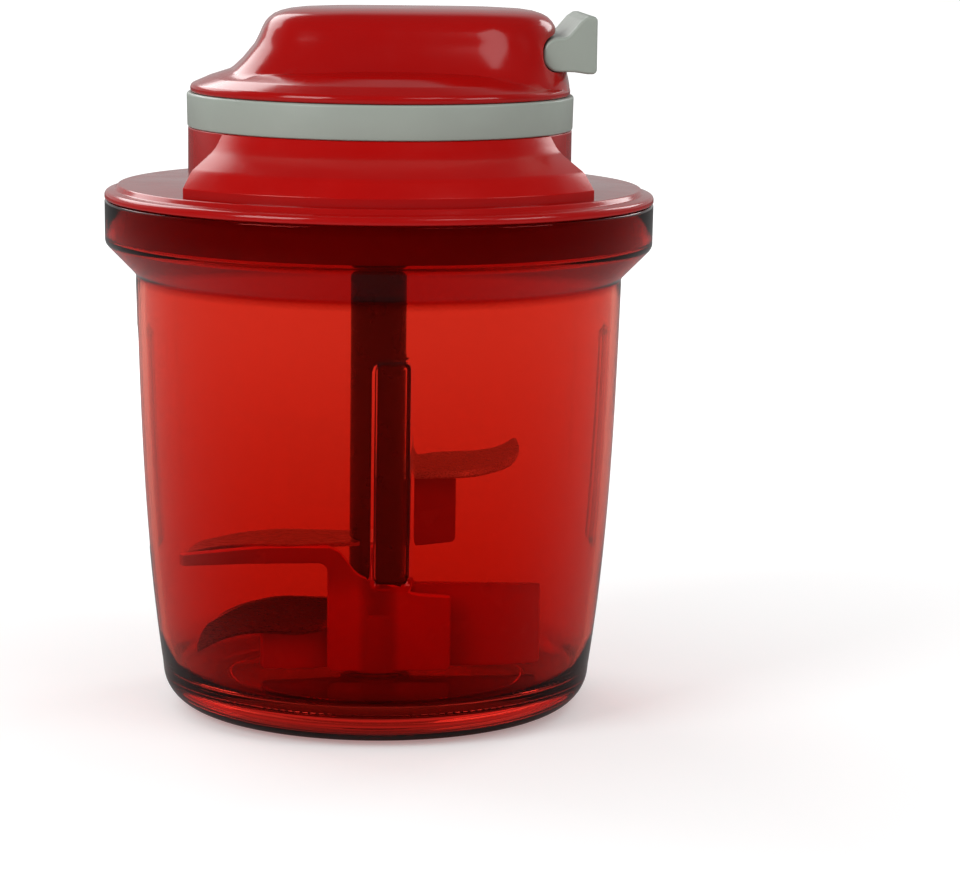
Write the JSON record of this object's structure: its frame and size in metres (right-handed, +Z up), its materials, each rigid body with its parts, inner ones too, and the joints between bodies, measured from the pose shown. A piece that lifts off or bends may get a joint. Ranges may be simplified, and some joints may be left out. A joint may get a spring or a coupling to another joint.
{
  "type": "pull-cord food chopper",
  "caption": "Tub-shaped clear bowl with a lift-off lid; pulling the side grip unwinds a cord reel and spins the sickle blades, and a spiral spring winds it back.",
  "frame": {"origin": "centre of the foot at table level, on the axis the blades turn about", "axes": "+Z up along the blades' axis; +X the way the grip is pulled; -Y the front, where the lid's sloped fairing is"},
  "size_m": [0.154, 0.154, 0.198],
  "materials": {
    "clear_red": "clear tinted, polished",
    "red": "glossy",
    "grey": "satin",
    "column": "glossy",
    "steel": "ground sheet",
    "inner": "moulded",
    "acetal": "moulded",
    "rubber": "matt",
    "cord": "braided"
  },
  "bodies": {
    "bowl": {"bowl": "clear_red", "non_skid_ring": "rubber"},
    "blade_unit": {"blade_column": "column", "high_blade": "steel", "left_blade": "steel", "low_blade": "steel"},
    "cover": {"cover_body": "red", "cover_band": "grey", "cover_cap": "red", "deck_plate": "inner", "upper_bush": "acetal", "lower_bush": "acetal", "shaft_seal": "rubber", "cover_screws": "steel", "deck_screws": "steel", "spring_arbor": "steel", "cord_eyelet": "steel"},
    "reel": {"reel_drum": "acetal", "reel_lid": "acetal", "cord_winding": "cord", "reel_washer": "steel", "return_spring": "steel", "drive_shaft": "acetal", "shaft_clip": "steel"},
    "grip": {"pull_grip": "grey", "grip_plate": "grey", "cord_knot": "cord", "pull_cord": "cord"}
  },
  "joints": [
    {"name": "cover_lift", "type": "slide", "parent": "bowl", "child": "cover", "axis": [0, 0, 1], "range_m": [0, 0.12]},
    {"name": "grip_pull", "type": "slide", "parent": "cover", "child": "grip", "axis": [1, 0, 0], "range_m": [0, 0.4], "stiffness_N_per_m": 12.5, "springref_m": -0.24, "deforming": ["return_spring", "pull_cord"]},
    {"name": "reel_turn", "type": "hinge", "parent": "cover", "child": "reel", "pos_m": [0, 0, 0.187], "axis": [0, 0, 1], "range_deg": [0, 1400]},
    {"name": "blade_turn", "type": "hinge", "parent": "bowl", "child": "blade_unit", "pos_m": [0, 0, 0.04], "axis": [0, 0, 1], "range_deg": [0, 1400]}
  ],
  "couplings": [
    {"joint": "reel_turn", "follows": "grip_pull", "rad_per_m": 60.606},
    {"joint": "blade_turn", "follows": "grip_pull", "rad_per_m": 60.606}
  ]
}
